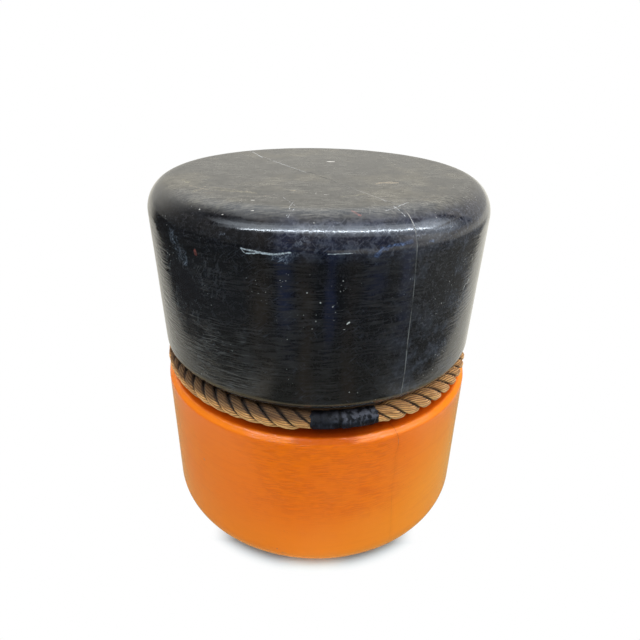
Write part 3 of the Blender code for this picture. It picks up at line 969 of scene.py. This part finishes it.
def make_tape(name, first, length, crumpled, material):
    """One wrap of tape: it shows the lay beneath, its own turns' edges, its wrinkles and its torn end."""
    start = FRONT + BUTT_AZIMUTH + first / ROPE_AXIS_RADIUS
    bm = bmesh.new()
    bmesh.ops.create_circle(bm, cap_ends=True, segments=TAPE_SIDES, radius=TAPE_OUTER_RADIUS,
                            matrix=across_rope(start))
    bm.faces.ensure_lookup_table()
    opening = bm.faces[0]
    wall = TAPE_OUTER_RADIUS - TAPE_INNER_RADIUS
    bmesh.ops.inset_individual(bm, faces=[opening], thickness=wall, use_even_offset=True)
    bmesh.ops.delete(bm, geom=[opening], context="FACES_ONLY")
    bmesh.ops.spin(bm, geom=bm.faces[:], angle=length / ROPE_AXIS_RADIUS,
                   steps=round(length / TAPE_RING_STEP), use_duplicate=False, **ROUND_Z)
    tape = to_object(bm, name, material)
    mesh = tape.data
    points = points_of(mesh)
    azimuth = np.arctan2(points[:, 1], points[:, 0])
    along = (azimuth - start) * ROPE_AXIS_RADIUS
    out = radius_of(points) - ROPE_AXIS_RADIUS
    up = points[:, 2] - ROPE_AXIS_HEIGHT
    angle = np.arctan2(up, out)
    radius = np.hypot(out, up)
    outer = radius > 0.5 * (TAPE_OUTER_RADIUS + TAPE_INNER_RADIUS)

    lobe = np.cos(STRANDS * (angle - STRAND_PHASE + LAY_TURNS * (azimuth - FRONT - BUTT_AZIMUTH)))
    around = polar(9.0, angle, along * 1000.0)
    fold = np.clip(0.5 - 1.6 * noise_of(around, 0.17, 3), 0.0, 1.0)
    crease = np.clip(1.0 - 6.0 * np.abs(noise_of(around, 0.24, 4)), 0.0, 1.0)
    winding = along * 1000.0 / TURN_LENGTH_MM + angle / FULL_TURN
    step = winding - np.floor(winding)
    edge = smooth(0.0, 0.05, step) * (1.0 - step)
    sunk = LAY_SINK * (1.0 - lobe) + TURN_EDGE_SINK * (1.0 - edge)
    sunk = sunk + crumpled * (FOLD_SINK * fold + CREASE_SINK * crease)
    sunk = sunk + END_SINK * (1.0 - smooth(0.0, 0.003, np.minimum(along, length - along)))
    final = np.where(outer, TAPE_OUTER_RADIUS - np.minimum(sunk, DEEPEST_SINK), radius)

    from_free_end = along if first < 0.0 else length - along
    torn = noise_of(polar(3.4, angle, length * 900.0), 1.0, 6)
    azimuth = azimuth + TEAR * torn * (1.0 - smooth(0.0, TEAR_REACH, from_free_end)) / ROPE_AXIS_RADIUS
    radial = ROPE_AXIS_RADIUS + final * np.cos(angle)
    set_points(mesh, polar(radial, azimuth, ROPE_AXIS_HEIGHT + final * np.sin(angle)))
    set_attribute(mesh, "ridge", np.clip(1.0 - sunk / FOLD_SINK, 0.0, 1.0))
    mesh.shade_smooth()
    mesh.set_sharp_from_angle(angle=math.radians(50.0))
    return tape


def make_camera():
    """The photograph's view."""
    data = bpy.data.cameras.new("photo_camera")
    data.lens = LENS
    data.sensor_width = SENSOR
    data.shift_x = SHIFT_RIGHT
    data.shift_y = SHIFT_UP
    data.clip_start = 0.01
    camera = bpy.data.objects.new("photo_camera", data)
    turn = Matrix.Rotation(0.5 * math.pi - TIPPED_DOWN, 4, "X") @ Matrix.Rotation(ROLLED, 4, "Z")
    camera.matrix_world = Matrix.Translation(EYE) @ turn
    bpy.context.scene.collection.objects.link(camera)
    bpy.context.scene.camera = camera


def make_world():
    """White to the eye. Gloss sees a pale room behind and above; soft light falls from high up."""
    world = bpy.data.worlds.new("studio")
    bpy.context.scene.world = world
    world.use_nodes = True
    graph = Graph(world.node_tree)
    way = graph.node("TexCoord", {}, {}, "Generated")
    side, back, up = (way.part(letter) for letter in "XYZ")
    leftward = side.step(-0.35, -0.65)
    rightward = side.step(0.15, 0.6)
    behind = back.step(-0.25, 0.15) * (1.0 - leftward) + back.step(0.15, 0.75) * leftward
    low_room = 0.12 + up.step(0.05, 0.45) * 0.1
    low_left = leftward * up.step(0.2, 0.02) * back.step(0.78, 0.6)
    back_wall = 0.48 + rightward * 0.12 + leftward * 0.2 - low_left * 0.35
    high_room = up.step(0.2, 0.85) * (1.35 - leftward * 0.7 - rightward * 0.85)
    room = low_room + behind * (back_wall + high_room)
    room = room + up.step(0.9, 0.97) * (1.0 - behind) * 0.9 - up.step(0.86, 1.0) * behind * 0.85
    room = room + way.measure("DISTANCE", (0.92, -0.28, 0.27)).step(0.48, 0.14) * 1.8
    tone = up.step(0.3, 0.8).mix((1.0, 0.98, 0.9), (0.88, 0.94, 1.0))
    ceiling = up.step(0.4, 0.95) * (0.875 + back * 0.3 + side * 0.53)
    soft = ceiling.mix((0.41, 0.4, 0.4), (3.9, 3.82, 3.8))
    eye, gloss = graph.rays()
    lit = eye.mix(gloss.mix(soft, graph.scaled(tone, room)), (1.0, 1.0, 1.0))
    backdrop = graph.node("Background", {}, {"Color": lit, "Strength": 1.0})
    graph.node("OutputWorld", {}, {"Surface": backdrop})


def make_floor():
    """A pale sheet: white to the eye past the contact shadow; to gloss, dimmer in front with a painted
    shadow, and warm near the drum with its painted bounce.
    """
    material, graph = new_material("pale_floor")
    place = graph.place()
    x = place.part("X")
    y = place.part("Y")
    side_way = abs(x)
    from_axis = place.measure("LENGTH")
    clear = larger(from_axis.step(0.17, 0.192), side_way.step(0.088, 0.128))
    outer = from_axis.step(0.3, 0.45)
    sheet = (side_way - y * 0.65).step(0.605, 0.54) * (0.7 + x.step(-0.2, 0.5) * 0.18)
    near = from_axis.step(0.5, 0.42) * 0.52
    far = from_axis.step(1.5, 3.0) * x.step(0.0, 0.8) * 0.9
    lean = y / larger(0.0 - x, 0.001)
    far_left = lean.step(0.55, 1.05) * x.step(-0.5, -0.9) * from_axis.step(1.2, 2.2) * 0.85
    pale_zone = larger(sheet * outer, near, far, far_left)
    right_bend = larger(x - 0.2, 0.0) * 0.8
    left_bend = larger(-0.08 - x, 0.0) * 0.3
    # painted shadow in front, seen only by gloss
    dark = (y - right_bend + left_bend).step(-0.23, -0.285) * abs(x - 0.04).step(0.34, 0.22)
    level = (0.04 + x.step(0.5, 0.9) * 0.2 + pale_zone) * (1.0 - dark)
    # painted warm bounce from the orange drum near it, seen only by gloss
    tint = outer.mix((1.0, 0.8, 0.42), (1.0, 0.97, 0.86))

    # darker floor colour at the sides deepens the contact shadow there: painted shade
    middle_shade = graph.node("BsdfDiffuse", {}, {"Color": (0.76, 0.98, 1.0)})
    side_shade = graph.node("BsdfDiffuse", {}, {"Color": (0.5, 0.68, 0.76)})
    white = graph.node("Emission", {}, {"Color": (1.0, 1.0, 1.0), "Strength": 1.0})
    dim = graph.node("Emission", {}, {"Color": graph.scaled(tint, level), "Strength": 1.0})
    eye, gloss = graph.rays()
    shown = middle_shade
    for share, shader in ((side_way.step(0.012, 0.05), side_shade), (gloss, dim), (eye * clear, white)):
        shown = graph.node("MixShader", {}, {0: share, 1: shown, 2: shader})
    graph.node("OutputMaterial", {}, {"Surface": shown})
    bm = bmesh.new()
    bmesh.ops.create_grid(bm, x_segments=1, y_segments=1, size=20.0)
    to_object(bm, "floor_sheet", material)


# Strip lamp as seen from the shoulder: azimuths and heights along it, in degrees, and its distance
LAMP_ROUTE = ((-75, 27), (-60, 36), (-43, 44.5), (-31, 50), (-10, 54), (10, 55), (35, 50), (56, 43),
              (68, 35), (86, 22))
LAMP_AIM = Vector((0.0, -0.15, 0.4))
LAMP_DISTANCE = 2.2
# Bands of it: from and to, in degrees above its line; first and last azimuth; strength
LAMP_BANDS = (
    ("tube", -1.2, 1.2, -64, 87, 40),
    ("near_glow", 1.3, 9, -82, 108, 6.2),
    ("far_glow", 9, 20, -98, 110, 4.3),
    ("high_glow", 20, 31, -98, 100, 1.9),
    ("low_near_glow", -8, -1.3, -58, 110, 3.8),
    ("low_far_glow", -17, -8, -22, 112, 1.8),
)


def make_lamps():
    """A long curved strip lamp high in front, with its diffuser glowing along it."""
    for word, low, high, first, last, strength in LAMP_BANDS:
        fade = math.radians(14.0 if word == "tube" else 36.0)
        material, graph = new_material(f"lamp_{word}")
        turn = graph.vector("SUBTRACT", graph.place(), tuple(LAMP_AIM)).azimuth()
        start, end = math.radians(first), math.radians(last)
        share = turn.step(start, start + fade) * turn.step(end, end - 0.7 * fade)
        tone = share.mix((0.0, 0.0, 0.0), (0.82, 0.91, 1.0))
        glow = graph.node("Emission", {}, {"Color": tone, "Strength": strength})
        graph.node("OutputMaterial", {}, {"Surface": glow})
        bm = bmesh.new()
        before = None
        for azimuth in np.linspace(first, last, 30):
            middle = np.interp(azimuth, *zip(*LAMP_ROUTE))
            ends = []
            for height in (middle + low, middle + high):
                tip = Matrix.Rotation(math.radians(height), 4, "Y") @ Vector((-1.0, 0.0, 0.0))
                way = Matrix.Rotation(math.radians(azimuth) + 0.5 * math.pi, 4, "Z") @ tip
                ends.append(bm.verts.new(LAMP_AIM + way * LAMP_DISTANCE))
            if before:
                bm.faces.new((before[0], before[1], ends[1], ends[0]))
            before = ends
        lamp = to_object(bm, f"lamp_{word}", material)
        lamp.visible_camera = False
        lamp.visible_diffuse = False


def finish_piece(piece, node):
    """Hang a piece on the root body and hide the part that it stands for."""
    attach(piece, "root")
    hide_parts(node)


def build():
    """Make the camera, the studio and every piece."""
    bpy.context.scene.view_settings.view_transform = "Standard"
    make_camera()
    make_world()
    make_floor()
    make_lamps()

    lower = drum_outline(rounded_edge(LOWER_BASE_RADIUS, LOWER_LOW, LOWER_BASE_ROUND, FRONT),
                         worn_rim())
    upper = drum_outline(rounded_edge(UPPER_WAIST_RADIUS, UPPER_LOW, UPPER_WAIST_ROUND, FRONT),
                         rounded_edge(UPPER_TOP_RADIUS, UPPER_HIGH, UPPER_SHOULDER_ROUND, 0.0))
    drums = (
        ("lower", "orange_paint",
         (lower, LOWER_LOW, LOWER_HIGH, LOWER_SIDE_WANDER, RIM_WEAR, orange_paint_look())),
        ("upper", "black_paint",
         (upper, UPPER_LOW, UPPER_HIGH, UPPER_SIDE_WANDER, 0.0, black_paint_look())),
    )
    for drum, slot, form in drums:
        for side, word in ((-1, "left"), (1, "right")):
            name = f"{drum}_{word}_block"
            finish_piece(make_block(f"{name}_painted", side, *form), name)

    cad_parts["waist_disc"].data.materials[0] = wood_look()
    fibre = rope_look()
    for index in range(STRANDS):
        finish_piece(make_strand(index, fibre), f"strop_strand_{index + 1}")
    tape = tape_look()
    half_gap = 0.5 * TAPE_GAP
    left = make_tape("tape_left_wound", -TAPE_LEFT_LENGTH, TAPE_LEFT_LENGTH - half_gap, 0.75, tape)
    finish_piece(left, "joint_tape_left")
    right = make_tape("tape_right_wound", half_gap, TAPE_RIGHT_LENGTH - half_gap, 1.0, tape)
    finish_piece(right, "joint_tape_right")


build()
